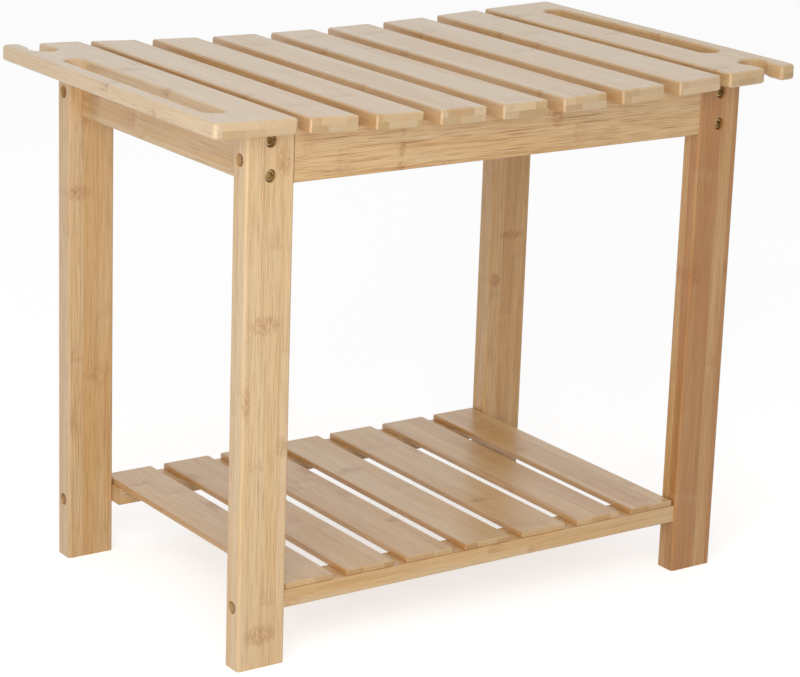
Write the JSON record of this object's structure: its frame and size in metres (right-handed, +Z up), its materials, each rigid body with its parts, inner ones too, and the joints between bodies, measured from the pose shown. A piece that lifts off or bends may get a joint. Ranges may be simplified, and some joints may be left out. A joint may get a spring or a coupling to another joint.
{
  "type": "slatted bath stool",
  "caption": "Low rectangular bamboo stool: dished slatted seat with slotted, keyhole-notched end boards, four flat legs, aprons and a slatted lower shelf.",
  "frame": {"origin": "on the floor, at the middle of the stool's footprint: the bottom centre of its bounding box", "axes": "+X along the seat's length to the right as seen from the front, +Y from front to rear, +Z up"},
  "size_m": [0.57, 0.35, 0.45],
  "materials": {
    "bamboo_seat": "clear satin lacquer, pale",
    "bamboo_frame": "clear satin lacquer, golden",
    "bamboo_shelf": "clear satin lacquer",
    "plated_bolt": "yellow zinc plating"
  },
  "bodies": {
    "root": {"seat_slat_1": "bamboo_seat", "seat_slat_2": "bamboo_seat", "seat_slat_3": "bamboo_seat", "seat_slat_4": "bamboo_seat", "seat_slat_5": "bamboo_seat", "seat_slat_6": "bamboo_seat", "seat_slat_7": "bamboo_seat", "end_board_left": "bamboo_seat", "end_board_right": "bamboo_seat", "leg_front_left": "bamboo_frame", "leg_front_right": "bamboo_frame", "leg_rear_left": "bamboo_frame", "leg_rear_right": "bamboo_frame", "apron_front": "bamboo_frame", "apron_rear": "bamboo_frame", "side_rail_left": "bamboo_frame", "side_rail_right": "bamboo_frame", "shelf_rail_front": "bamboo_shelf", "shelf_rail_rear": "bamboo_shelf", "shelf_slat_1": "bamboo_shelf", "shelf_slat_2": "bamboo_shelf", "shelf_slat_3": "bamboo_shelf", "shelf_slat_4": "bamboo_shelf", "shelf_slat_5": "bamboo_shelf", "shelf_slat_6": "bamboo_shelf", "shelf_slat_7": "bamboo_shelf", "side_rail_bolts": "plated_bolt", "apron_bolts": "plated_bolt", "shelf_bolts": "plated_bolt"}
  },
  "joints": []
}
